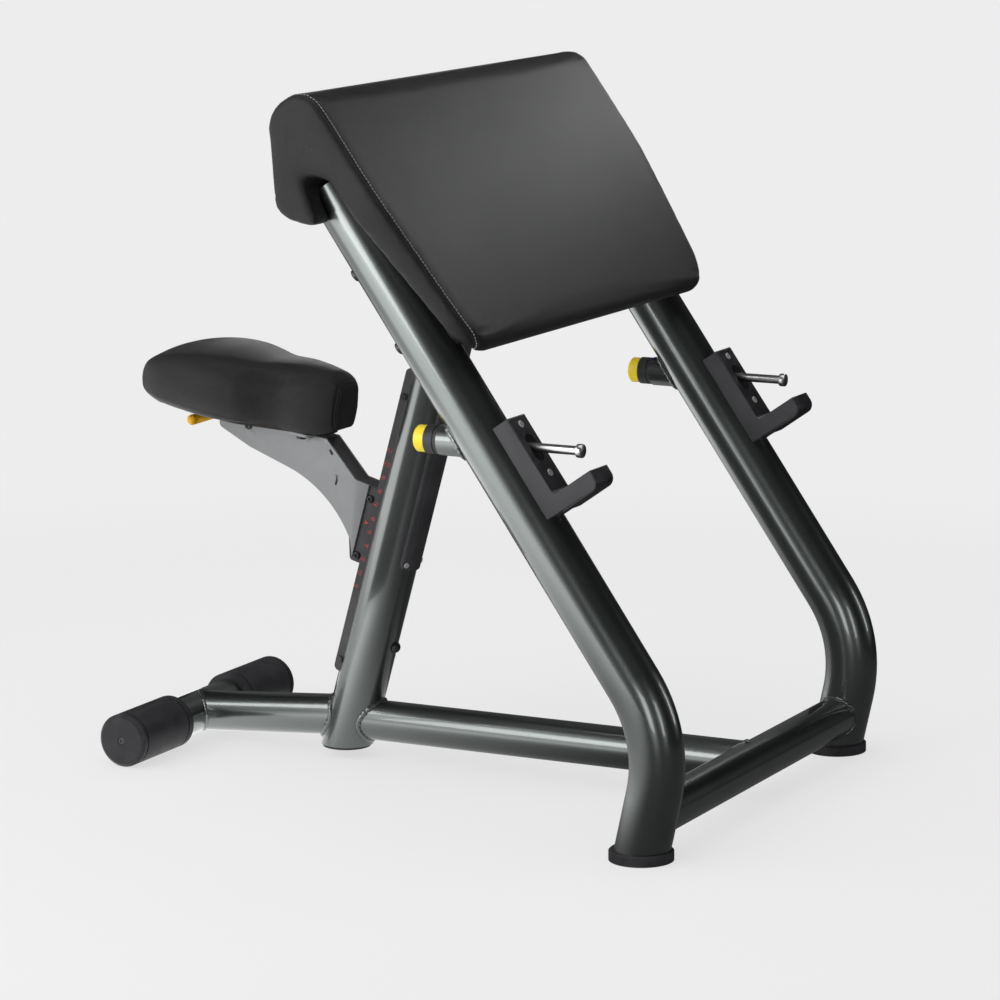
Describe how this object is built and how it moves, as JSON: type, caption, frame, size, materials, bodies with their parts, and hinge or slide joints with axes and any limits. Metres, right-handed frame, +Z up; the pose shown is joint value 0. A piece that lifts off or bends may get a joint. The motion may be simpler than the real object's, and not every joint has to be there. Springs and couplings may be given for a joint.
{
  "type": "preacher curl bench",
  "caption": "Preacher curl bench: bent dark tube frame, black arm pad, sliding saddle seat, bar cradles and yellow-knobbed pegs.",
  "frame": {"origin": "on the floor, below the middle of the part's box", "axes": "+Z up, +Y towards the seat and the rear feet, +X across, left is -X"},
  "size_m": [0.826, 1.0122, 1.0225],
  "materials": {
    "frame_paint": "dark green-grey metallic, glossy",
    "carriage_paint": "light grey, satin",
    "black_steel": "black, satin",
    "charcoal_plastic": "charcoal, matte",
    "black_rubber": "charcoal, matte",
    "glide_plastic": "black, low friction",
    "bolt_steel": "zinc plated",
    "vinyl": "black, fine grain",
    "plywood": "stained black",
    "chrome": "polished",
    "yellow_plastic": "glossy",
    "pointer_paint": "red"
  },
  "bodies": {
    "frame": {"left_leg_tube": "frame_paint", "right_leg_tube": "frame_paint", "left_leg_plug": "charcoal_plastic", "right_leg_plug": "charcoal_plastic", "left_foot_cap": "black_rubber", "right_foot_cap": "black_rubber", "front_cross_tube": "frame_paint", "upper_cross_tube": "frame_paint", "column_tube": "frame_paint", "column_plug": "charcoal_plastic", "front_beam": "frame_paint", "rear_beam": "frame_paint", "rear_cross_tube": "frame_paint", "rear_tube_plugs": "charcoal_plastic", "left_foot_sleeve": "black_rubber", "right_foot_sleeve": "black_rubber", "sleeve_screws": "bolt_steel", "seat_rail": "black_steel", "rail_stop_bolts": "bolt_steel", "anchor_bolt": "bolt_steel", "column_cover": "charcoal_plastic", "cover_screws": "bolt_steel", "arm_pad": "vinyl", "pad_board": "plywood", "pad_bolts": "bolt_steel", "left_bar_cradle": "charcoal_plastic", "right_bar_cradle": "charcoal_plastic", "left_cradle_liner": "black_rubber", "right_cradle_liner": "black_rubber", "left_cradle_tip": "black_rubber", "right_cradle_tip": "black_rubber", "cradle_screws": "bolt_steel", "left_peg_stub": "frame_paint", "right_peg_stub": "frame_paint", "left_peg_bush": "charcoal_plastic", "right_peg_bush": "charcoal_plastic"},
    "seat_carriage": {"left_side_plate": "carriage_paint", "right_side_plate": "carriage_paint", "left_follower": "black_steel", "right_follower": "black_steel", "lower_glide": "glide_plastic", "upper_glide": "glide_plastic", "glide_bolts": "bolt_steel", "top_strip": "black_steel", "mount_plate": "carriage_paint", "seat_board": "plywood", "seat_bolts": "bolt_steel", "seat_cushion": "vinyl", "lever_pivot_bolt": "bolt_steel", "seat_pointer": "pointer_paint"},
    "release_lever": {"lever_arm": "black_steel", "lever_grip": "yellow_plastic"},
    "seat_brake": {"pull_bar": "black_steel", "brake_pad": "black_rubber"},
    "left_peg": {"left_peg_pin": "chrome", "left_peg_knob": "yellow_plastic"},
    "right_peg": {"right_peg_pin": "chrome", "right_peg_knob": "yellow_plastic"}
  },
  "joints": [
    {"name": "seat_slide", "type": "slide", "parent": "frame", "child": "seat_carriage", "axis": [0, -0.2731, 0.962], "range_m": [-0.135, 0.145]},
    {"name": "lever_lift", "type": "hinge", "parent": "seat_carriage", "child": "release_lever", "pos_m": [0, 0.35056, 0.48772], "axis": [1, 0, 0], "range_deg": [0, 5], "stiffness_Nm_per_rad": 2},
    {"name": "brake_pull", "type": "slide", "parent": "seat_carriage", "child": "seat_brake", "axis": [0, 1, 0], "range_m": [0, 0.0016]},
    {"name": "left_peg_slide", "type": "slide", "parent": "frame", "child": "left_peg", "axis": [0, 1, 0], "range_m": [0, 0.05]},
    {"name": "right_peg_slide", "type": "slide", "parent": "frame", "child": "right_peg", "axis": [0, 1, 0], "range_m": [0, 0.05]}
  ],
  "couplings": [
    {"joint": "brake_pull", "follows": "lever_lift", "m_per_rad": 0.01757}
  ]
}
